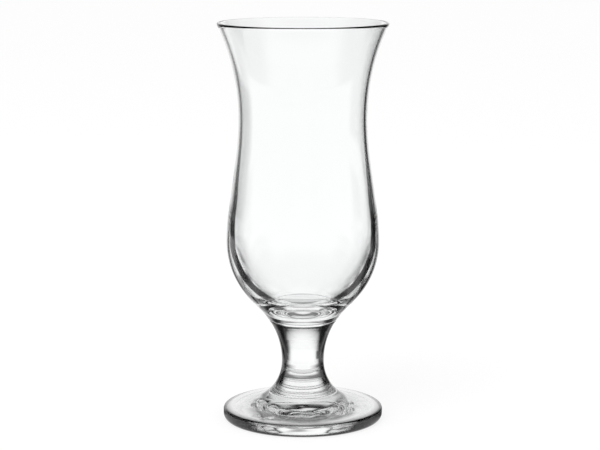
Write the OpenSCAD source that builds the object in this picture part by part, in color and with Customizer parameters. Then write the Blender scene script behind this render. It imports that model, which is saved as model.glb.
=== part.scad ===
// Hurricane glass: a blown bowl fused to a solid drawn stem, which is fused to a pressed round foot.
// It stands upright on its foot, +Z up, with the origin at the centre of the resting plane.
// All lengths are in millimetres and all angles in degrees.

/* [Overall] */
// Height from the table to the top of the lip
glass_h = 200; // [185:1:230]

/* [Bowl] */
// Outer diameter of the lip
rim_d = 85; // [74:1:100]
// Outer diameter of the waist, below the flared mouth
waist_d = 64; // [56:1:70]
// Height of the waist above the table
waist_z = 153; // [135:1:170]
// Outer diameter of the belly at its widest
belly_d = 76.4; // [70:0.2:90]
// Height of the widest place of the belly above the table
belly_z = 90.5; // [86:0.5:105]
// Wall thickness from the lip down to the waist
lip_wall = 1.7; // [1.2:0.1:3]
// Wall thickness at the belly, by which the hollow is narrower on each side
belly_wall = 2.2; // [1.4:0.1:4]
// Height of the hollow's widest place above the belly's widest place
hollow_rise = 6.5; // [0:0.5:12]
// Depth of glass between the floor of the hollow and the seam with the stem
floor_t = 5; // [3:0.5:12]

/* [Stem] */
// Diameter of the neck, which is the stem at its thinnest
neck_d = 21.2; // [16:0.2:28]
// Height of the neck above the table
neck_z = 29.5; // [26:0.5:34]
// Height of the seam where the bowl is fused to the stem
bowl_seam_z = 51; // [44:0.5:54]

/* [Foot] */
// Diameter of the foot
foot_d = 80.4; // [74:0.2:90]
// Height of the seam where the stem is fused to the foot
foot_seam_z = 14; // [11:0.5:18]
// Height at which the sloping top of the foot would meet its upright edge
foot_edge_h = 6; // [5:0.5:8]
// Slope of the top of the foot near its edge
foot_slope = 10; // [4:1:12]
// Radius of the rounding under the edge
edge_low_round = 2.5; // [1:0.1:3]
// Radius of the rounding on top of the edge
edge_top_round = 1.6; // [0.6:0.1:2]
// Width of the flat ring that the glass stands on
rest_ring_w = 3.5; // [2:0.5:8]
// Rise of the hollowed underside at its centre
underside_rise = 3; // [1:0.5:6]

/* [Hidden] */
// Straight steps in one full turn
$fn = 60;
// Widest gap between a drawn curve and its straight steps
curve_gap = 0.03;
// Clear glass, with a little of it seen through
glass_colour = [0.80, 0.87, 0.89, 0.45];

// An upright curve swings from one station to the next with two arcs and a short straight
// between them, and each arc's radius is a share of the largest pair that would fit.
belly_over_waist_share = 0.35;
waist_under_flare_share = 0.48;
belly_over_stem_share = 0.51;
neck_under_belly_share = 0.47;
// Radius of the hollow's tighter arc, of the hollow's depth or half width, whichever is less
hollow_tight_share = 0.85;
// Directions from an arc's centre: 0 is away from the axis, and a quarter turn is straight up
quarter_turn = 90;
half_turn = 180;

rim_r = rim_d / 2;
waist_r = waist_d / 2;
belly_r = belly_d / 2;
neck_r = neck_d / 2;
foot_r = foot_d / 2;
lip_round = lip_wall / 2;
floor_z = bowl_seam_z + floor_t;
hollow_waist_r = waist_r - lip_wall;
hollow_belly_r = belly_r - belly_wall;
hollow_z = belly_z + hollow_rise;

// Mid line of the flared wall: one arc from the waist, where it is upright, to the lip
lip_centre = [rim_r - lip_round, glass_h - lip_round];
flare_out = rim_r - waist_r;
flare_up = lip_centre[1] - waist_z;
flare_mid_r = (flare_out * flare_out + flare_up * flare_up) / (2 * flare_out);
flare_centre = [waist_r + flare_mid_r - lip_round, waist_z];
flare_angle = asin(flare_up / flare_mid_r);

// Sweep from the neck down to the foot: one arc, upright at the neck and tangent to the foot's top
sweep_r = ((neck_z - foot_edge_h) * cos(foot_slope) - (foot_r - neck_r) * sin(foot_slope))
    / (1 - sin(foot_slope));
sweep_centre = [neck_r + sweep_r, neck_z];
foot_seam_angle = half_turn + asin((neck_z - foot_seam_z) / sweep_r);

// Sweep from the neck up into the bowl
neck_curve = s_arcs([belly_r, belly_z], [neck_r, neck_z], belly_over_stem_share, neck_under_belly_share);
bowl_seam_angle = half_turn - asin((bowl_seam_z - neck_z) / neck_curve[1][1]);

// Rounded edge and hollowed underside of the foot
edge_top_centre = [foot_r - edge_top_round,
    foot_edge_h - edge_top_round * (1 - sin(foot_slope)) / cos(foot_slope)];
edge_low_centre = [foot_r - edge_low_round, edge_low_round];
rest_inner_r = edge_low_centre[0] - rest_ring_w;
underside_r = (rest_inner_r * rest_inner_r + underside_rise * underside_rise) / (2 * underside_rise);
underside_centre = [0, underside_rise - underside_r];

// Rounded floor of the hollow, a quarter of an oval: a side arc that is upright at its widest and a
// floor arc on the axis. The tighter arc is at the side where the hollow is wider than it is deep,
// and on the axis where it is deeper.
hollow_depth = hollow_z - floor_z;
hollow_is_deep = hollow_depth > hollow_belly_r;
hollow_short = min(hollow_depth, hollow_belly_r);
hollow_long = max(hollow_depth, hollow_belly_r);
hollow_tight_r = hollow_tight_share * hollow_short;
hollow_wide_r = (hollow_long * hollow_long + hollow_short * hollow_short
    - 2 * hollow_long * hollow_tight_r) / (2 * (hollow_short - hollow_tight_r));
hollow_side_r = hollow_is_deep ? hollow_wide_r : hollow_tight_r;
hollow_floor_r = hollow_is_deep ? hollow_tight_r : hollow_wide_r;
hollow_side_centre = [hollow_belly_r - hollow_side_r, hollow_z];
hollow_floor_centre = [0, floor_z + hollow_floor_r];
hollow_join_angle = hollow_is_deep
    ? atan2(hollow_floor_centre[1] - hollow_side_centre[1], -hollow_side_centre[0])
    : atan2(hollow_side_centre[1] - hollow_floor_centre[1], hollow_side_centre[0]);

// Points of an arc about a centre, from one angle to another, with steps no coarser than curve_gap.
// A radius below zero is measured backwards, for an outline that leans the other way.
function arc(centre, r, from, to) =
    let (steps = max(1, ceil(abs(to - from) / (2 * acos(1 - curve_gap / abs(r))))))
    [for (i = [0:steps]) centre + r * unit(from + (to - from) * i / steps)];

function unit(angle) = [cos(angle), sin(angle)];

// The list without its first point, where the point before it is the same
function rest_of(points) = [for (i = [1:len(points) - 1]) points[i]];

function backwards(points) = [for (i = [len(points) - 1:-1:0]) points[i]];

// Two arcs between a wide and a narrow station, each upright at its own station. Where the wide
// station is made the narrower one, both radii come out below zero and the curve swings back.
// Returns [centre, radius, first angle, last angle] of the wide arc and then of the narrow one.
function s_arcs(wide, narrow, wide_share, narrow_share) =
    let (
        turn = sign(narrow[1] - wide[1]),
        across = wide[0] - narrow[0],
        along = abs(narrow[1] - wide[1]),
        both_r = (across * across + along * along) / (2 * across),
        wide_r = wide_share * both_r,
        narrow_r = narrow_share * both_r,
        wide_centre = [wide[0] - wide_r, wide[1]],
        narrow_centre = [narrow[0] + narrow_r, narrow[1]],
        apart = narrow_centre[0] - wide_centre[0],
        lean = atan2(along, apart) - acos((wide_r + narrow_r) / norm([apart, along]))
    )
    [[wide_centre, wide_r, 0, turn * lean], [narrow_centre, narrow_r, half_turn + turn * lean, half_turn]];

// The points of the two arcs, or a straight line where both stations have one radius
function s_points(wide, narrow, wide_share, narrow_share) =
    wide[0] == narrow[0]
        ? [wide, narrow]
        : [for (a = s_arcs(wide, narrow, wide_share, narrow_share)) each arc(a[0], a[1], a[2], a[3])];

// Solid ring or disc of an outline drawn beside the axis
module spun(points) {
    color(glass_colour)
        rotate_extrude()
            polygon(points);
}

// Pressed foot: hollowed underside, flat resting ring, rounded edge and sloping top
module foot() {
    spun(concat(
        backwards(arc(underside_centre, underside_r, atan2(-underside_centre[1], rest_inner_r),
            quarter_turn)),
        arc(edge_low_centre, edge_low_round, -quarter_turn, 0),
        arc(edge_top_centre, edge_top_round, 0, quarter_turn - foot_slope),
        arc(sweep_centre, sweep_r, half_turn + quarter_turn - foot_slope, foot_seam_angle),
        [[0, foot_seam_z]]
    ));
}

// Drawn stem: a solid column that flares to the foot below and to the bowl above
module stem() {
    spun(concat(
        [[0, foot_seam_z]],
        arc(sweep_centre, sweep_r, foot_seam_angle, half_turn),
        rest_of(arc(neck_curve[1][0], neck_curve[1][1], half_turn, bowl_seam_angle)),
        [[0, bowl_seam_z]]
    ));
}

// Blown bowl: round belly, waist and flared mouth with a fire-polished lip
module bowl() {
    spun(concat(
        [[0, bowl_seam_z]],
        arc(neck_curve[1][0], neck_curve[1][1], bowl_seam_angle, neck_curve[1][2]),
        arc(neck_curve[0][0], neck_curve[0][1], neck_curve[0][3], 0),
        rest_of(s_points([belly_r, belly_z], [waist_r, waist_z],
            belly_over_waist_share, waist_under_flare_share)),
        rest_of(arc(flare_centre, flare_mid_r - lip_round, half_turn, half_turn - flare_angle)),
        rest_of(arc(lip_centre, lip_round, -flare_angle, half_turn - flare_angle)),
        rest_of(arc(flare_centre, flare_mid_r + lip_round, half_turn - flare_angle, half_turn)),
        rest_of(backwards(s_points([hollow_belly_r, hollow_z], [hollow_waist_r, waist_z],
            belly_over_waist_share, waist_under_flare_share))),
        rest_of(arc(hollow_side_centre, hollow_side_r, 0, hollow_join_angle)),
        rest_of(arc(hollow_floor_centre, hollow_floor_r, hollow_join_angle, -quarter_turn))
    ));
}

foot();
stem();
bowl();
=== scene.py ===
"""Dresses a hurricane glass: foot, stem and bowl in clear glass, in a bright studio.

Every outline is drawn beside the upright axis as points (radius, height) in metres, from the same
stations as the solids, and is then spun round the axis.
"""

import math

import bpy
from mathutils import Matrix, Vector


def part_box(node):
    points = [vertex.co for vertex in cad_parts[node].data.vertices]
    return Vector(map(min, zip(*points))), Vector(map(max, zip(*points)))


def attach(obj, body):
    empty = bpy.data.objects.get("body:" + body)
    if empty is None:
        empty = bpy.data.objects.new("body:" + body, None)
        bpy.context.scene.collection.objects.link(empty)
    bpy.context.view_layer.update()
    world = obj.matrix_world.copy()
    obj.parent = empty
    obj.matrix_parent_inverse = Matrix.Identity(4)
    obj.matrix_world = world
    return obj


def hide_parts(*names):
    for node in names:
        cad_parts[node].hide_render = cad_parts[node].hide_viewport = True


bl_info = {
    "name": "Hurricane Glass",
    "version": (1, 0, 0),
    "blender": (4, 5, 0),
    "location": "3D View > Sidebar > Hurricane Glass",
    "description": "Builds a clear hurricane glass and the bright studio that it stands in",
    "category": "Object",
}

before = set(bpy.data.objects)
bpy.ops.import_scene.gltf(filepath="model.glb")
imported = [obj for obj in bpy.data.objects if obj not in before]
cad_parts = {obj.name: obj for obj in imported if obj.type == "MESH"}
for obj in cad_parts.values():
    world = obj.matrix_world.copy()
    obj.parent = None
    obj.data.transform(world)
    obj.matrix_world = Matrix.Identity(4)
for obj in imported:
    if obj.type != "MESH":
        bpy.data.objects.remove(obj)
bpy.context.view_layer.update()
FOOT_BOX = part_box("foot")
STEM_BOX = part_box("stem")
BOWL_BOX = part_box("bowl")

FOOT_RADIUS = (FOOT_BOX[1].x - FOOT_BOX[0].x) / 2

MM = 0.001
# Widest gap between a drawn curve and its straight steps
CURVE_GAP = 0.004 * MM
# Longest step across the underside, which the ripple bends
UNDERSIDE_STEP = 0.8 * MM
# Steps round the axis, for glass and for things on the stage
ROUND_STEPS = 192
STAGE_STEPS = 64
# Doubles closer than this are one point
SAME_POINT = 0.0005 * MM

# Shares of the largest pair of arcs that would fit between two upright stations
BELLY_OVER_WAIST_SHARE = 0.35
WAIST_UNDER_FLARE_SHARE = 0.48
BELLY_OVER_STEM_SHARE = 0.51
NECK_UNDER_BELLY_SHARE = 0.47
# Radius of the hollow's tighter arc, of the hollow's depth or half width, whichever is less
HOLLOW_TIGHT_SHARE = 0.85
# A face with this much of its normal along the axis lies level
UPRIGHT = 0.999
# Outer share of the underside's radius over which the pressed ripple fades out
RIPPLE_FADE_SHARE = 0.2
# Material slots of a piece's fused faces and of the inside of its hollow
SEAM_SLOT, HOLLOW_SLOT = 1, 2

# Painted edge shade, a darkening of each glass's colour where it is seen edge on: how edge on
# it is seen where the shade starts and where it is full, from 0 face on to 1 edge on, and how deep
# it goes: (distance from the axis, depth) stops for the foot, and (height, depth) stops for the
# rest
FOOT_ANGLES = (0.05, 0.28)
FOOT_EDGE_SHADE = ((14 * MM, 0.2), (18 * MM, 0.36), (27 * MM, 0.36), (36 * MM, 0.1), (39.2 * MM, 1))
STEM_ANGLES = (0.15, 0.4)
STEM_EDGE_SHADE = ((14 * MM, 0.75), (19 * MM, 1), (23 * MM, 1), (51 * MM, 1))
WALL_ANGLES = (0.6, 0.76)
WALL_EDGE_SHADE = (
    (61.5 * MM, 0), (64 * MM, 1), (80 * MM, 1), (91 * MM, 0.97),
    (101 * MM, 0.9), (113 * MM, 0.7), (196 * MM, 0.4), (199 * MM, 0),
)
HOLLOW_ANGLES = (0.3, 1.0)
HOLLOW_EDGE_SHADE = ((60 * MM, 0), (68 * MM, 0.9), (105 * MM, 0.9), (120 * MM, 0.3), (140 * MM, 0.1))
# Painted dark line where the hollow's edge is seen through the wall: (height, how edge on the wall
# lies there, width, depth) stops
WALL_PAINTED_LINES = (
    (65.5 * MM, 0.46, 0.06, 0), (67.5 * MM, 0.475, 0.08, 1), (69 * MM, 0.485, 0.08, 1),
    (74 * MM, 0.525, 0.09, 1), (84 * MM, 0.58, 0.1, 1), (91 * MM, 0.625, 0.1, 1),
    (101 * MM, 0.635, 0.085, 1), (113 * MM, 0.63, 0.07, 0.97), (138 * MM, 0.71, 0.08, 0.85),
    (182 * MM, 0.755, 0.08, 0.7),
)
# Share of the painted line's half width at which it reaches its full depth
LINE_CORE_SHARE = 0.75
# Fineness of the noise of faint smears and of the resting ring's scuffs, per metre
SMEAR_SCALE = 400
SCUFF_SCALE = 1500

# Places of the factor and the two colours among a Mix node's inputs, and of the mixed colour
MIX_COLOUR_INPUTS = (0, 6, 7)
MIX_COLOUR_OUTPUT = 2

WHITE = (1, 1, 1, 1)
BLACK = (0, 0, 0, 1)
# The floor's paint, and how much of what is seen of it is its own white
FLOOR_PAINT = (0.9, 0.9, 0.9, 1)
FLOOR_GLOW_SHARE = 0.8
# Bright windows in the dark dome: bearing from +X and half width, in degrees, lowest and highest
# height, and brightness
WINDOWS = (
    (-90, 85, 0.0, 2.6, 1.0), (90, 40, 0.0, 2.1, 1.0),
    (90, 40, 2.1, 4.5, 1.0), (-90, 360, 2.5, 4.0, 0.3),
)
# Share of a window's half width and top height within which it is fully bright, and the height over
# which it brightens from below
WINDOW_FULL_SHARE = 0.6
WINDOW_RISE = 0.3
# Height of the painted shade under the foot above the floor; the floor shades lie at two, three and
# more times this height
FOOT_SHADE_HEIGHT = 0.02 * MM
# Painted shade under the foot, seen only through the glass: its brightness, dark between a bright
# middle and the white rim, as (distance from the axis, brightness) stops
FOOT_SHADE_TONES = ((0, 1), (9 * MM, 0.9), (13 * MM, 0.2), (22 * MM, 0.2), (29 * MM, 1))
# Its blotches: fineness per metre, the noise values between which one rises, and its brightness
BLOTCH_SCALE = 110
BLOTCH_EDGES = (0.45, 0.7)
BLOTCH_TONE = 0.5
# Shades on the floor, seen only in the glass: the distances from the axis at which each starts, is
# full, fades and ends, and (bearing, darkness) stops from -180 to 180 degrees
SHADES = (
    (0.0405, 0.043, 0.06, 0.09, (
        (-180, 0.5), (-165, 0), (-20, 0), (0, 0.9), (60, 0.9),
        (80, 0), (100, 0), (120, 0.9), (172, 0.9), (179.9, 0.5))),
    (0.08, 0.095, 0.1, 0.12, (
        (20, 0), (30, 0.9), (52, 0.9), (64, 0), (122, 0), (132, 0.9), (150, 0.9), (166, 0))),
    (0.1, 0.14, 0.3, 0.42, (
        (12, 0), (26, 0.95), (56, 0.95), (68, 0), (146, 0), (154, 0.8), (166, 0.8), (174, 0))),
    (0.13, 0.17, 0.62, 0.74, ((114, 0), (119, 0.9), (123, 0.9), (128, 0))),
    (0.3, 0.4, 8, 9, ((25, 0), (40, 0.97), (59, 0.97), (68, 0))),
    (0.62, 0.74, 8, 9, ((114, 0), (127, 0.85), (160, 0.85), (170, 0))),
)
# A shade that goes on past this distance turns up into a wall of this height
SHADE_WALL_DISTANCE = 1.6
SHADE_WALL_HEIGHT = 0.36
# The lamp that casts the soft shadow, in metres and watts
LAMP_PLACE = Vector((-0.6, -0.9, 1.6))
LAMP_AIM = Vector((0, 0, 0.1))
LAMP_SIZE = 1.0
LAMP_POWER = 14
# Width of the camera's sensor, in millimetres
SENSOR_WIDTH = 36
# Bounces of light, which has to pass many faces of glass
LIGHT_BOUNCES = 32


class GlassSizes(bpy.types.PropertyGroup):
    """Sizes of the glass, which follow the solids"""

    rim_diameter: bpy.props.FloatProperty(
        name="Rim diameter", description="Outer diameter of the lip",
        default=BOWL_BOX[1].x - BOWL_BOX[0].x, unit="LENGTH")
    waist_diameter: bpy.props.FloatProperty(
        name="Waist diameter", description="Outer diameter below the flared mouth",
        default=64 * MM, unit="LENGTH")
    waist_height: bpy.props.FloatProperty(
        name="Waist height", description="Height of the waist", default=153 * MM, unit="LENGTH")
    belly_diameter: bpy.props.FloatProperty(
        name="Belly diameter", description="Outer diameter at the widest",
        default=76.4 * MM, unit="LENGTH")
    belly_height: bpy.props.FloatProperty(
        name="Belly height", description="Height of the widest place",
        default=90.5 * MM, unit="LENGTH")
    lip_wall: bpy.props.FloatProperty(
        name="Lip wall", description="Wall thickness from the lip to the waist",
        default=1.7 * MM, unit="LENGTH")
    belly_wall: bpy.props.FloatProperty(
        name="Belly wall", description="Wall that the hollow's half width leaves of the belly's",
        default=2.2 * MM, unit="LENGTH")
    hollow_rise: bpy.props.FloatProperty(
        name="Hollow rise", description="Height of the hollow's widest place above the belly's",
        default=6.5 * MM, unit="LENGTH")
    floor_thickness: bpy.props.FloatProperty(
        name="Floor thickness", description="Glass between the hollow and the stem",
        default=5 * MM, unit="LENGTH")
    neck_diameter: bpy.props.FloatProperty(
        name="Neck diameter", description="The stem at its thinnest",
        default=21.2 * MM, unit="LENGTH")
    neck_height: bpy.props.FloatProperty(
        name="Neck height", description="Height of the neck", default=29.5 * MM, unit="LENGTH")
    foot_edge_height: bpy.props.FloatProperty(
        name="Foot edge", description="Height at which the foot's top would meet its edge",
        default=6 * MM, unit="LENGTH")
    foot_slope: bpy.props.FloatProperty(
        name="Foot slope", description="Slope of the foot's top near its edge",
        default=math.radians(10), subtype="ANGLE")
    edge_low_round: bpy.props.FloatProperty(
        name="Lower rounding", description="Rounding under the foot's edge",
        default=2.5 * MM, unit="LENGTH")
    edge_top_round: bpy.props.FloatProperty(
        name="Upper rounding", description="Rounding on top of the foot's edge",
        default=1.6 * MM, unit="LENGTH")
    rest_ring_width: bpy.props.FloatProperty(
        name="Resting ring", description="Width of the flat ring under the foot",
        default=3.5 * MM, unit="LENGTH")
    underside_rise: bpy.props.FloatProperty(
        name="Underside rise", description="Rise of the hollowed underside",
        default=3 * MM, unit="LENGTH")


class GlassFinish(bpy.types.PropertyGroup):
    """Finish of the glass"""

    tint: bpy.props.FloatVectorProperty(
        name="Tint", description="What clear glass lets through", subtype="COLOR", size=3,
        default=(0.985, 0.992, 0.992))
    # Painted edge shade: the near-black colour the glass is given where it is seen edge on
    painted_edge_shade: bpy.props.FloatVectorProperty(
        name="Painted edge shade", description="What it lets through where it is seen edge on",
        subtype="COLOR", size=3, default=(0.001, 0.001, 0.001))
    glass_ior: bpy.props.FloatProperty(
        name="Bending", description="Index of refraction", default=1.5)
    wave_length: bpy.props.FloatProperty(
        name="Wave length", description="Size of the slow waves in the worked surface",
        default=16 * MM, unit="LENGTH")
    wave_height: bpy.props.FloatProperty(
        name="Wave height", description="Height of the slow waves",
        default=0.04 * MM, unit="LENGTH")
    scuff_height: bpy.props.FloatProperty(
        name="Scuff height", description="Height up to which the resting ring is scuffed",
        default=0.15 * MM, unit="LENGTH")
    ripple_length: bpy.props.FloatProperty(
        name="Ripple length", description="Size of the pressed ripple under the foot",
        default=12 * MM, unit="LENGTH")
    ripple_height: bpy.props.FloatProperty(
        name="Ripple height", description="Height of the pressed ripple under the foot",
        default=0.45 * MM, unit="LENGTH")


class StudioSettings(bpy.types.PropertyGroup):
    """Floor, light and camera"""

    camera_distance: bpy.props.FloatProperty(
        name="Camera distance", description="From the axis of the glass",
        default=0.9416, unit="LENGTH")
    camera_height: bpy.props.FloatProperty(
        name="Camera height", description="Above the floor", default=0.2622, unit="LENGTH")
    camera_aside: bpy.props.FloatProperty(
        name="Camera aside", description="To the left of the axis", default=0.00144, unit="LENGTH")
    camera_dip: bpy.props.FloatProperty(
        name="Camera dip", description="How far the camera looks down", default=math.radians(9.841),
        subtype="ANGLE")
    lens: bpy.props.FloatProperty(
        name="Lens", description="Focal length in millimetres", default=114.6)
    floor_radius: bpy.props.FloatProperty(
        name="Floor radius", description="Radius of the white floor", default=6.0, unit="LENGTH")
    dome_radius: bpy.props.FloatProperty(
        name="Dome radius", description="From the axis to the dark dome",
        default=3.0, unit="LENGTH")
    dome_base: bpy.props.FloatProperty(
        name="Dome base", description="Height at which the dark dome starts to fade in",
        default=0.42, unit="LENGTH")
    dome_full: bpy.props.FloatProperty(
        name="Dome full", description="Height above which the dark dome is fully dark", default=0.6,
        unit="LENGTH")
    # Painted shade under the foot, seen only through the glass
    foot_shade_radius: bpy.props.FloatProperty(
        name="Foot shade radius", description="Radius of the painted foot shade under the foot", default=0.03,
        unit="LENGTH")


def along(angle):
    """A step of length one at an angle in degrees, in the outline's plane."""
    return Vector((math.cos(math.radians(angle)), math.sin(math.radians(angle))))


def arc(centre, radius, start, end, gap=CURVE_GAP):
    """Points of an arc from one angle to another, in degrees."""
    step = math.degrees(2 * math.acos(1 - gap / abs(radius)))
    count = max(1, math.ceil(abs(end - start) / step))
    angles = (start + (end - start) * i / count for i in range(count + 1))
    return [Vector(centre) + radius * along(angle) for angle in angles]


def even_steps(points, longest):
    """The same line with no step longer than the given length."""
    finer = [points[0]]
    for before, after in zip(points, points[1:]):
        count = max(1, math.ceil((after - before).length / longest))
        finer += [before.lerp(after, i / count) for i in range(1, count + 1)]
    return finer


def two_arcs(wide, narrow, wide_share, narrow_share):
    """Two arcs between upright stations, each as (centre, radius, start, end)."""
    turn = math.copysign(1, narrow[1] - wide[1])
    across, up = wide[0] - narrow[0], abs(narrow[1] - wide[1])
    both = (across * across + up * up) / (2 * across)
    wide_radius, narrow_radius = wide_share * both, narrow_share * both
    wide_centre = Vector((wide[0] - wide_radius, wide[1]))
    narrow_centre = Vector((narrow[0] + narrow_radius, narrow[1]))
    apart = narrow_centre.x - wide_centre.x
    touching = math.acos((wide_radius + narrow_radius) / math.hypot(apart, up))
    lean = turn * math.degrees(math.atan2(up, apart) - touching)
    return (wide_centre, wide_radius, 0, lean), (narrow_centre, narrow_radius, 180 + lean, 180)


def neck_curve(sizes):
    """The belly's lower arc and the neck's upper arc."""
    belly = sizes.belly_diameter / 2, sizes.belly_height
    neck = sizes.neck_diameter / 2, sizes.neck_height
    return two_arcs(belly, neck, BELLY_OVER_STEM_SHARE, NECK_UNDER_BELLY_SHARE)


def foot_sweep(sizes):
    """Centre and radius of the arc from the upright neck down to the foot's sloping top."""
    slope = sizes.foot_slope
    neck_radius = sizes.neck_diameter / 2
    fall = (sizes.neck_height - sizes.foot_edge_height) * math.cos(slope)
    radius = (fall - (FOOT_RADIUS - neck_radius) * math.sin(slope)) / (1 - math.sin(slope))
    return Vector((neck_radius + radius, sizes.neck_height)), radius


def underside_radius(sizes):
    """Radius of the hollowed underside, within the resting ring."""
    return FOOT_RADIUS - sizes.edge_low_round - sizes.rest_ring_width


def foot_outline(sizes):
    """Hollowed underside, resting ring, rounded edge and sloping top."""
    slope = math.degrees(sizes.foot_slope)
    low, top, rise = sizes.edge_low_round, sizes.edge_top_round, sizes.underside_rise
    inner = underside_radius(sizes)
    dome = (inner * inner + rise * rise) / (2 * rise)
    dome_centre = Vector((0, rise - dome))
    top_drop = top * (1 - math.sin(sizes.foot_slope)) / math.cos(sizes.foot_slope)
    sweep_centre, sweep = foot_sweep(sizes)
    seam_height = FOOT_BOX[1].z
    seam_angle = 180 + math.degrees(math.asin((sizes.neck_height - seam_height) / sweep))
    underside = arc(dome_centre, dome, 90, math.degrees(math.atan2(-dome_centre.y, inner)))
    return (
        even_steps(underside, UNDERSIDE_STEP)
        + arc((FOOT_RADIUS - low, low), low, -90, 0)
        + arc((FOOT_RADIUS - top, sizes.foot_edge_height - top_drop), top, 0, 90 - slope)
        + arc(sweep_centre, sweep, 270 - slope, seam_angle)
        + [Vector((0, seam_height))]
    )


def stem_outline(sizes):
    """Solid column that flares to the foot below and to the bowl above."""
    sweep_centre, sweep = foot_sweep(sizes)
    neck_centre, neck = neck_curve(sizes)[1][:2]
    low, high = STEM_BOX[0].z, STEM_BOX[1].z
    low_angle = 180 + math.degrees(math.asin((sizes.neck_height - low) / sweep))
    high_angle = 180 - math.degrees(math.asin((high - sizes.neck_height) / neck))
    return (
        [Vector((0, low))]
        + arc(sweep_centre, sweep, low_angle, 180)
        + arc(neck_centre, neck, 180, high_angle)[1:]
        + [Vector((0, high))]
    )


def bowl_outline(sizes):
    """Outside from the seam to the lip, over it, and down the hollow to its floor."""
    low, high = BOWL_BOX[0].z, BOWL_BOX[1].z
    belly, waist = sizes.belly_diameter / 2, sizes.waist_diameter / 2
    lip = sizes.lip_wall / 2
    belly_arc, neck_arc = neck_curve(sizes)
    seam_angle = 180 - math.degrees(math.asin((low - sizes.neck_height) / neck_arc[1]))
    shares = BELLY_OVER_WAIST_SHARE, WAIST_UNDER_FLARE_SHARE
    outer = two_arcs((belly, sizes.belly_height), (waist, sizes.waist_height), *shares)
    hollow_belly, hollow_waist = belly - sizes.belly_wall, waist - sizes.lip_wall
    hollow_height = sizes.belly_height + sizes.hollow_rise
    inner = two_arcs((hollow_belly, hollow_height), (hollow_waist, sizes.waist_height), *shares)

    lip_centre = Vector((sizes.rim_diameter / 2 - lip, high - lip))
    out, up = sizes.rim_diameter / 2 - waist, lip_centre.y - sizes.waist_height
    flare = (out * out + up * up) / (2 * out)
    flare_centre = Vector((waist + flare - lip, sizes.waist_height))
    flare_angle = math.degrees(math.asin(up / flare))

    floor = low + sizes.floor_thickness
    depth = hollow_height - floor
    short, long = sorted((depth, hollow_belly))
    tight = HOLLOW_TIGHT_SHARE * short
    wide = (long ** 2 + short ** 2 - 2 * long * tight) / (2 * (short - tight))
    side, bottom = (wide, tight) if depth > hollow_belly else (tight, wide)
    side_centre = Vector((hollow_belly - side, hollow_height))
    bottom_centre = Vector((0, floor + bottom))
    between = (bottom_centre - side_centre) * (1 if side > bottom else -1)
    join = math.degrees(math.atan2(between.y, between.x))

    up_outside = arc(*outer[0]) + arc(*outer[1])
    up_inside = arc(*inner[0]) + arc(*inner[1])
    return (
        [Vector((0, low))]
        + arc(neck_arc[0], neck_arc[1], seam_angle, neck_arc[2])
        + arc(belly_arc[0], belly_arc[1], belly_arc[3], 0)
        + up_outside[1:]
        + arc(flare_centre, flare - lip, 180, 180 - flare_angle)[1:]
        + arc(lip_centre, lip, -flare_angle, 180 - flare_angle)[1:]
        + arc(flare_centre, flare + lip, 180 - flare_angle, 180)[1:]
        + up_inside[-2::-1]
        + arc(side_centre, side, 0, join)[1:]
        + arc(bottom_centre, bottom, join, -90)[1:]
    )


def spin_piece(name, outline, steps=ROUND_STEPS):
    """Extrudes a vertex from point to point of the outline, and spins the line round the axis."""
    bpy.ops.object.select_all(action="DESELECT")
    places = [Vector((point.x, 0, point.y)) for point in outline]
    bpy.ops.mesh.primitive_plane_add(size=MM, location=(0, 0, 0))
    piece = bpy.context.object
    piece.name = piece.data.name = name
    bpy.ops.object.mode_set(mode="EDIT")
    bpy.ops.mesh.select_all(action="SELECT")
    bpy.ops.mesh.merge(type="CENTER")
    bpy.ops.transform.translate(value=places[0])
    for before, after in zip(places, places[1:]):
        bpy.ops.mesh.extrude_vertices_move(TRANSFORM_OT_translate={"value": after - before})
    bpy.ops.mesh.select_all(action="SELECT")
    bpy.ops.mesh.spin(
        steps=steps, angle=math.tau, center=(0, 0, 0), axis=(0, 0, -1), dupli=False,
        use_auto_merge=True)
    bpy.ops.mesh.select_all(action="SELECT")
    bpy.ops.mesh.remove_doubles(threshold=SAME_POINT)
    bpy.ops.mesh.normals_make_consistent(inside=False)
    bpy.ops.object.mode_set(mode="OBJECT")
    bpy.ops.object.shade_smooth()
    return piece


def ripple_underside(piece, sizes, finish):
    """Presses an uneven ripple into the underside, which fades out before the resting ring."""
    ring = underside_radius(sizes)
    group = piece.vertex_groups.new(name="underside")
    for point in piece.data.vertices:
        share = math.hypot(point.co.x, point.co.y) / ring
        if share < 1 and point.co.z < sizes.underside_rise + CURVE_GAP:
            group.add([point.index], min(1, (1 - share) / RIPPLE_FADE_SHARE), "REPLACE")
    ripple = bpy.data.textures.new("pressed ripple", "CLOUDS")
    ripple.noise_scale = finish.ripple_length
    ripple.noise_depth = 1
    bpy.ops.object.modifier_add(type="DISPLACE")
    press = piece.modifiers[-1]
    press.texture = ripple
    press.texture_coords = "LOCAL"
    press.vertex_group = group.name
    press.direction = "Z"
    press.strength = finish.ripple_height
    bpy.ops.object.modifier_apply(modifier=press.name)


def node(tree, kind, **settings):
    """A node in a tree, with its settings and the plain values of its inputs."""
    made = tree.nodes.new(kind)
    for key, value in settings.items():
        if hasattr(made, key):
            setattr(made, key, value)
        else:
            made.inputs[key.replace("_", " ")].default_value = value
    return made


def feed(tree, value, target):
    """Gives an input the output of another node, or a plain number."""
    if isinstance(value, bpy.types.NodeSocket):
        tree.links.new(value, target)
    else:
        target.default_value = value


def reckon(tree, operation, *values):
    """The result of one sum, product or the like, of outputs and plain numbers."""
    made = node(tree, "ShaderNodeMath", operation=operation)
    for value, target in zip(values, made.inputs):
        feed(tree, value, target)
    return made.outputs[0]


def eased(tree, value, none, full, **settings):
    """A soft change from 0, where a value is at none, to 1, where it is at full."""
    made = node(tree, "ShaderNodeMapRange", interpolation_type="SMOOTHSTEP", **settings)
    for given, name in ((value, "Value"), (none, "From Min"), (full, "From Max")):
        feed(tree, given, made.inputs[name])
    return made.outputs["Result"]


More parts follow.
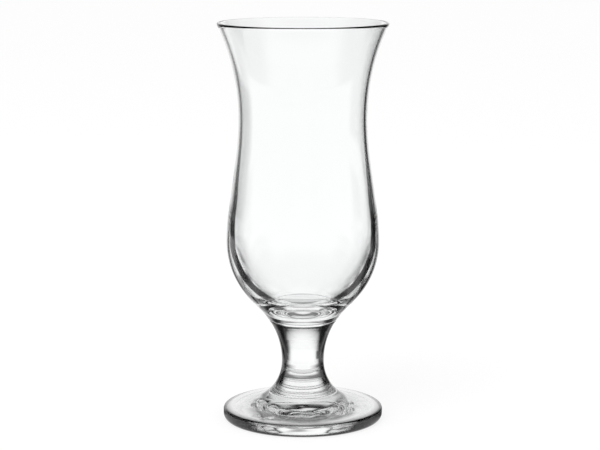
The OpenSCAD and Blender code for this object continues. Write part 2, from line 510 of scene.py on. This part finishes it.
def object_place(tree):
    """The place on the object, its three coordinates, and its distance from the upright axis."""
    place = node(tree, "ShaderNodeTexCoord").outputs["Object"]
    split = node(tree, "ShaderNodeSeparateXYZ")
    flat = node(tree, "ShaderNodeVectorMath", operation="MULTIPLY")
    flat.inputs[1].default_value = (1, 1, 0)
    out = node(tree, "ShaderNodeVectorMath", operation="LENGTH")
    tree.links.new(place, split.inputs[0])
    tree.links.new(place, flat.inputs[0])
    tree.links.new(flat.outputs[0], out.inputs[0])
    return place, split.outputs, out.outputs["Value"]


def stops_along(tree, measure, stops, target):
    """Gives an input its value from (length, value) stops along a measured length."""
    whole = stops[-1][0]
    ramp = node(tree, "ShaderNodeValToRGB")
    while len(ramp.color_ramp.elements) < len(stops):
        ramp.color_ramp.elements.new(0)
    for stop, (length, value) in zip(ramp.color_ramp.elements, stops):
        stop.position = length / whole
        stop.color = (value, value, value, 1)
    tree.links.new(reckon(tree, "DIVIDE", measure, whole), ramp.inputs[0])
    tree.links.new(ramp.outputs[0], target)


def new_group(name, inputs, outputs):
    """A node group with named inputs and outputs, what it is given and what it puts out."""
    group = bpy.data.node_groups.new(name, "ShaderNodeTree")
    for direction, sockets in (("INPUT", inputs), ("OUTPUT", outputs)):
        for key, kind, *default in sockets:
            made = group.interface.new_socket(
                name=key, in_out=direction, socket_type="NodeSocket" + kind)
            if default:
                made.default_value = default[0]
    given = group.nodes.new("NodeGroupInput").outputs
    taken = group.nodes.new("NodeGroupOutput").inputs
    return group, given, taken


def painted_edge_shade_group():
    """Node group: glass colour with painted shade, darker where it is seen edge on and along a
    painted line at the hollow's edge.
    """
    if "painted edge shade group" in bpy.data.node_groups:
        return bpy.data.node_groups["painted edge shade group"]
    group, given, taken = new_group("painted edge shade group", (
        ("Facing", "Float"),
        ("From Inside", "Float"),
        ("Start", "Float", 0.3),
        ("Full", "Float", 0.9),
        ("Depth", "Float", 1.0),
        ("Line", "Float", 0.2),
        ("Line Width", "Float", 0.02),
        ("Line Depth", "Float", 0.0),
        ("Clear", "Color"),
        ("Edge", "Color"),
    ), (("Base Color", "Color"),))
    risen = eased(group, given["Facing"], given["Start"], given["Full"])
    depth = reckon(group, "MULTIPLY", risen, given["Depth"])
    off_line = reckon(group, "ABSOLUTE", reckon(group, "SUBTRACT", given["Facing"], given["Line"]))
    core = reckon(group, "MULTIPLY", given["Line Width"], LINE_CORE_SHARE)
    near_line = eased(group, off_line, given["Line Width"], core)
    line = reckon(group, "MULTIPLY", near_line, given["Line Depth"])
    entering = reckon(group, "SUBTRACT", 1, given["From Inside"])
    deepest = reckon(group, "MAXIMUM", depth, reckon(group, "MULTIPLY", line, entering))
    blend = node(group, "ShaderNodeMix", data_type="RGBA")
    factor, first, second = (blend.inputs[key] for key in MIX_COLOUR_INPUTS)
    group.links.new(deepest, factor)
    group.links.new(given["Clear"], first)
    group.links.new(given["Edge"], second)
    group.links.new(blend.outputs[MIX_COLOUR_OUTPUT], taken["Base Color"])
    return group


def surface_group():
    """Node group: slow waves of worked glass, and the scuffed ring that it rests on."""
    if "glass surface" in bpy.data.node_groups:
        return bpy.data.node_groups["glass surface"]
    group, given, taken = new_group("glass surface", (
        ("Place", "Vector"),
        ("Wave Scale", "Float", 60.0),
        ("Smear", "Float", 0.004),
        ("Scuff Top", "Float", 0.0),
        ("Scuff Roughness", "Float", 0.15),
    ), (("Height", "Float"), ("Roughness", "Float")))
    link = group.links.new
    waves = node(group, "ShaderNodeTexNoise", Detail=1.0, Roughness=0.4)
    smears = node(group, "ShaderNodeTexNoise", Scale=SMEAR_SCALE, Detail=3.0)
    marks = node(group, "ShaderNodeTexNoise", Scale=SCUFF_SCALE, Detail=2.0)
    split = node(group, "ShaderNodeSeparateXYZ")
    for placed in (waves, smears, marks, split):
        link(given["Place"], placed.inputs[0])
    link(given["Wave Scale"], waves.inputs["Scale"])
    link(waves.outputs[0], taken["Height"])
    rests = reckon(group, "LESS_THAN", split.outputs["Z"], given["Scuff Top"])
    worn = reckon(group, "MULTIPLY", rests, marks.outputs[0])
    scuffed = reckon(group, "MULTIPLY", worn, given["Scuff Roughness"])
    smeared = reckon(group, "MULTIPLY", smears.outputs[0], given["Smear"])
    link(reckon(group, "ADD", scuffed, smeared), taken["Roughness"])
    return group


def empty_material(name):
    """A material with nothing in it but an output, and its node tree and that output."""
    made = bpy.data.materials.new(name)
    made.use_nodes = True
    made.node_tree.nodes.clear()
    return made, made.node_tree, node(made.node_tree, "ShaderNodeOutputMaterial").inputs["Surface"]


def clear_glass(name, finish, angles, shade_depths, by_radius=False, painted_lines=None):
    """Clear glass with painted edge shade: its colour darkens where it is seen edge on, by depth
    stops up its height or out from its axis, and along a painted dark line where the hollow's edge
    is seen through it. Angles are as a Layer Weight node gives them."""
    made, tree, output = empty_material(name)
    shader = node(tree, "ShaderNodeBsdfPrincipled", Roughness=0.0, IOR=finish.glass_ior)
    shader.inputs["Transmission Weight"].default_value = 1
    surface = node(
        tree, "ShaderNodeGroup", node_tree=surface_group(),
        Wave_Scale=1 / finish.wave_length, Scuff_Top=finish.scuff_height)
    bump = node(tree, "ShaderNodeBump", Distance=finish.wave_height)
    # Painted edge shade: the glass colour darkens by how edge on it is seen
    facing = node(tree, "ShaderNodeLayerWeight", Blend=0.5)
    side = node(tree, "ShaderNodeNewGeometry")
    edge = node(
        tree, "ShaderNodeGroup", node_tree=painted_edge_shade_group(),
        Start=angles[0], Full=angles[1], Clear=(*finish.tint, 1), Edge=(*finish.painted_edge_shade, 1))
    place, (_, _, height), out = object_place(tree)
    stops_along(tree, out if by_radius else height, shade_depths, edge.inputs["Depth"])
    # Painted dark line where the hollow's edge is seen through the wall
    if painted_lines:
        heights, *columns = zip(*painted_lines)
        for key, values in zip(("Line", "Line Width", "Line Depth"), columns):
            stops_along(tree, height, list(zip(heights, values)), edge.inputs[key])
    link = tree.links.new
    link(place, surface.inputs["Place"])
    link(surface.outputs["Height"], bump.inputs["Height"])
    link(surface.outputs["Roughness"], shader.inputs["Roughness"])
    link(bump.outputs[0], shader.inputs["Normal"])
    link(facing.outputs["Facing"], edge.inputs["Facing"])
    link(side.outputs["Backfacing"], edge.inputs["From Inside"])
    link(edge.outputs["Base Color"], shader.inputs["Base Color"])
    link(shader.outputs[0], output)
    return made


def fused_seam():
    """The inside face of a hot fused seam, through which nothing changes."""
    if "fused seam" in bpy.data.materials:
        return bpy.data.materials["fused seam"]
    made, tree, output = empty_material("fused seam")
    tree.links.new(node(tree, "ShaderNodeBsdfTransparent").outputs[0], output)
    return made


def shader_mix(tree, share, first, second, output):
    """Shows the second shader by its share, and the first for the rest."""
    mix = node(tree, "ShaderNodeMixShader")
    for value, target in zip((share, first.outputs[0], second.outputs[0]), mix.inputs):
        feed(tree, value, target)
    tree.links.new(mix.outputs[0], output)


def seen_directly(tree):
    """1 for camera rays, and off gloss and through glass, 0 for light that falls on things."""
    path = node(tree, "ShaderNodeLightPath").outputs
    first = reckon(tree, "MAXIMUM", path["Is Camera Ray"], path["Is Glossy Ray"])
    return reckon(tree, "MAXIMUM", first, path["Is Transmission Ray"])


def white_floor():
    """Mostly its own white where it is seen, over a plain diffuse floor that keeps the shadow."""
    made, tree, output = empty_material("white floor")
    paint = node(tree, "ShaderNodeBsdfDiffuse", Color=FLOOR_PAINT)
    glow = node(tree, "ShaderNodeEmission", Color=WHITE)
    share = reckon(tree, "MULTIPLY", seen_directly(tree), FLOOR_GLOW_SHARE)
    shader_mix(tree, share, paint, glow, output)
    return made


def floor_shade(start, full, fade, end, stops):
    """Darkens the floor under it by its bearing, and fades out at its nearer and farther edge."""
    made, tree, output = empty_material("floor shade")
    open_air = node(tree, "ShaderNodeBsdfTransparent")
    black = node(tree, "ShaderNodeEmission", Color=BLACK)
    _, (x, y, _), out = object_place(tree)
    turned = node(tree, "ShaderNodeMapRange", From_Min=-math.pi, From_Max=math.pi)
    tree.links.new(reckon(tree, "ARCTAN2", y, x), turned.inputs["Value"])
    ring = reckon(tree, "MULTIPLY", eased(tree, out, start, full), eased(tree, out, end, fade))
    dark = node(tree, "ShaderNodeMath", operation="MULTIPLY")
    tree.links.new(ring, dark.inputs[0])
    shares = [((bearing + 180) / 360, value) for bearing, value in stops] + [(1, 0)]
    stops_along(tree, turned.outputs["Result"], shares, dark.inputs[1])
    shader_mix(tree, dark.outputs[0], open_air, black, output)
    return made


def foot_shade_material():
    """Painted shade under the foot: a blotched disc that glows white in its middle and at its rim
    and is dark between, by its distance from the axis.
    """
    made, tree, output = empty_material("painted foot shade")
    glow = node(tree, "ShaderNodeEmission", Color=WHITE)
    place, _, out = object_place(tree)
    blotch = node(tree, "ShaderNodeTexNoise", Scale=BLOTCH_SCALE, Detail=0.0)
    tree.links.new(place, blotch.inputs["Vector"])
    tone = node(tree, "ShaderNodeMath", operation="MAXIMUM")
    blotched = eased(tree, blotch.outputs[0], *BLOTCH_EDGES, To_Max=BLOTCH_TONE)
    tree.links.new(blotched, tone.inputs[0])
    stops_along(tree, out, FOOT_SHADE_TONES, tone.inputs[1])
    tree.links.new(tone.outputs[0], glow.inputs["Strength"])
    tree.links.new(glow.outputs[0], output)
    return made


def dark_dome(studio):
    """Black dome with soft bright windows, which fades out above the floor."""
    made, tree, output = empty_material("dark dome")
    open_air = node(tree, "ShaderNodeBsdfTransparent")
    glow = node(tree, "ShaderNodeEmission", Color=WHITE)
    _, (x, y, height), _ = object_place(tree)
    turned = reckon(tree, "ARCTAN2", y, x)
    light = 0
    for bearing, half, low, high, strength in WINDOWS:
        apart = reckon(tree, "ABSOLUTE", reckon(tree, "SUBTRACT", turned, math.radians(bearing)))
        beside = eased(tree, apart, math.radians(half), math.radians(half) * WINDOW_FULL_SHARE)
        below = eased(tree, height, high, high * WINDOW_FULL_SHARE)
        above = eased(tree, height, low, low + WINDOW_RISE)
        window = reckon(tree, "MULTIPLY", reckon(tree, "MULTIPLY", below, above), beside)
        light = reckon(tree, "MAXIMUM", light, reckon(tree, "MULTIPLY", window, strength))
    tree.links.new(light, glow.inputs["Strength"])
    share = eased(tree, height, studio.dome_base, studio.dome_full)
    shader_mix(tree, share, open_air, glow, output)
    return made


def bright_world():
    """Plain white all round."""
    made = bpy.data.worlds.new("bright studio")
    made.use_nodes = True
    tree = made.node_tree
    tree.nodes.clear()
    sky = node(tree, "ShaderNodeBackground", Color=WHITE)
    tree.links.new(sky.outputs[0], node(tree, "ShaderNodeOutputWorld").inputs["Surface"])
    return made


def only_in_glass(thing):
    """Makes a thing show in gloss and through glass, and neither directly nor as shade."""
    thing.visible_camera = thing.visible_diffuse = thing.visible_shadow = False


def dress(piece, outside, seams, hollow=None):
    """Gives a piece its glass, its fused faces the seam, and its hollow a glass of its own."""
    for made in (outside, fused_seam(), hollow or outside):
        piece.data.materials.append(made)
    for face in piece.data.polygons:
        outwards = Vector(face.center.xy).dot(face.normal.xy)
        if any(abs(face.center.z - z) < CURVE_GAP and abs(face.normal.z) > UPRIGHT for z in seams):
            face.material_index = SEAM_SLOT
        elif hollow and outwards < 0 and face.center.z > seams[0]:
            face.material_index = HOLLOW_SLOT


def hand_over(piece, solid):
    """Hangs the piece under the root body and hides the solid of the same part."""
    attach(piece, "root")
    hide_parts(solid)


class GLASS_OT_foot(bpy.types.Operator):
    """Pressed foot"""

    bl_idname = "glass.foot"
    bl_label = "Foot"

    def execute(self, context):
        scene = context.scene
        finish = scene.glass_finish
        piece = spin_piece("foot_glass", foot_outline(scene.glass_sizes))
        ripple_underside(piece, scene.glass_sizes, finish)
        outside = clear_glass("pressed glass", finish, FOOT_ANGLES, FOOT_EDGE_SHADE, by_radius=True)
        dress(piece, outside, (FOOT_BOX[1].z,))
        hand_over(piece, "foot")
        return {"FINISHED"}


class GLASS_OT_stem(bpy.types.Operator):
    """Drawn stem"""

    bl_idname = "glass.stem"
    bl_label = "Stem"

    def execute(self, context):
        scene = context.scene
        piece = spin_piece("stem_glass", stem_outline(scene.glass_sizes))
        outside = clear_glass("drawn glass", scene.glass_finish, STEM_ANGLES, STEM_EDGE_SHADE)
        dress(piece, outside, (STEM_BOX[0].z, STEM_BOX[1].z))
        hand_over(piece, "stem")
        return {"FINISHED"}


class GLASS_OT_bowl(bpy.types.Operator):
    """Blown bowl"""

    bl_idname = "glass.bowl"
    bl_label = "Bowl"

    def execute(self, context):
        scene = context.scene
        finish = scene.glass_finish
        piece = spin_piece("bowl_glass", bowl_outline(scene.glass_sizes))
        outside = clear_glass("blown glass", finish, WALL_ANGLES, WALL_EDGE_SHADE, painted_lines=WALL_PAINTED_LINES)
        hollow = clear_glass("blown hollow", finish, HOLLOW_ANGLES, HOLLOW_EDGE_SHADE)
        dress(piece, outside, (BOWL_BOX[0].z,), hollow)
        hand_over(piece, "bowl")
        return {"FINISHED"}


class GLASS_OT_studio(bpy.types.Operator):
    """White floor, bright world, dark screens, painted shade under the foot and the camera"""

    bl_idname = "glass.studio"
    bl_label = "Studio"

    def execute(self, context):
        scene = context.scene
        studio = scene.glass_studio
        bpy.ops.object.select_all(action="DESELECT")
        bpy.ops.mesh.primitive_circle_add(
            vertices=STAGE_STEPS, radius=studio.floor_radius, fill_type="NGON", location=(0, 0, 0))
        floor = context.object
        floor.name = "floor"
        floor.data.materials.append(white_floor())

        low = math.degrees(math.asin(studio.dome_base / studio.dome_radius))
        line = arc((0, 0), studio.dome_radius, low, 90, gap=MM)
        dome = spin_piece("dark_dome", line, STAGE_STEPS)
        dome.data.materials.append(dark_dome(studio))
        only_in_glass(dome)

        # Painted shade under the foot, seen only through the glass
        line = [Vector((0, FOOT_SHADE_HEIGHT)), Vector((studio.foot_shade_radius, FOOT_SHADE_HEIGHT))]
        shade_disc = spin_piece("painted_foot_shade", line)
        shade_disc.data.materials.append(foot_shade_material())
        only_in_glass(shade_disc)

        for level, (start, full, fade, end, stops) in enumerate(SHADES, 2):
            height = level * FOOT_SHADE_HEIGHT
            turn = min(end, SHADE_WALL_DISTANCE + level * MM)
            line = [Vector((start, height)), Vector((turn, height))]
            if turn < end:
                line.append(Vector((turn, SHADE_WALL_HEIGHT)))
            shade = spin_piece("floor_shade", line, STAGE_STEPS)
            shade.data.materials.append(floor_shade(start, full, fade, end, stops))
            only_in_glass(shade)

        scene.world = bright_world()
        bpy.ops.object.light_add(type="AREA", location=LAMP_PLACE)
        lamp = context.object
        lamp.name = "soft lamp"
        lamp.data.energy = LAMP_POWER
        lamp.data.size = LAMP_SIZE
        lamp.visible_glossy = lamp.visible_transmission = False
        lamp.rotation_euler = (LAMP_PLACE - LAMP_AIM).to_track_quat("Z", "Y").to_euler()

        bpy.ops.object.camera_add(
            location=(-studio.camera_aside, -studio.camera_distance, studio.camera_height),
            rotation=(math.radians(90) - studio.camera_dip, 0, 0))
        camera = context.object
        camera.data.lens = studio.lens
        camera.data.sensor_width = SENSOR_WIDTH
        scene.camera = camera
        scene.view_settings.view_transform = "Standard"
        cycles = scene.cycles
        cycles.max_bounces = cycles.glossy_bounces = cycles.transmission_bounces = LIGHT_BOUNCES
        return {"FINISHED"}


class GLASS_PT_panel(bpy.types.Panel):
    """Lists the pieces of the glass and its studio"""

    bl_idname = "GLASS_PT_panel"
    bl_label = "Hurricane Glass"
    bl_space_type = "VIEW_3D"
    bl_region_type = "UI"
    bl_category = "Hurricane Glass"

    def draw(self, context):
        for operator in OPERATORS:
            self.layout.operator(operator.bl_idname)
        scene = context.scene
        for group in (scene.glass_sizes, scene.glass_finish, scene.glass_studio):
            box = self.layout.box()
            for key in group.bl_rna.properties.keys():
                if key not in ("rna_type", "name"):
                    box.prop(group, key)


OPERATORS = (GLASS_OT_foot, GLASS_OT_stem, GLASS_OT_bowl, GLASS_OT_studio)
CLASSES = (GlassSizes, GlassFinish, StudioSettings, *OPERATORS, GLASS_PT_panel)


def register():
    for made in CLASSES:
        bpy.utils.register_class(made)
    bpy.types.Scene.glass_sizes = bpy.props.PointerProperty(type=GlassSizes)
    bpy.types.Scene.glass_finish = bpy.props.PointerProperty(type=GlassFinish)
    bpy.types.Scene.glass_studio = bpy.props.PointerProperty(type=StudioSettings)


def unregister():
    del bpy.types.Scene.glass_studio, bpy.types.Scene.glass_finish, bpy.types.Scene.glass_sizes
    for made in reversed(CLASSES):
        bpy.utils.unregister_class(made)


def main():
    register()
    bpy.ops.glass.foot()
    bpy.ops.glass.stem()
    bpy.ops.glass.bowl()
    bpy.ops.glass.studio()


if __name__ == "__main__":
    main()
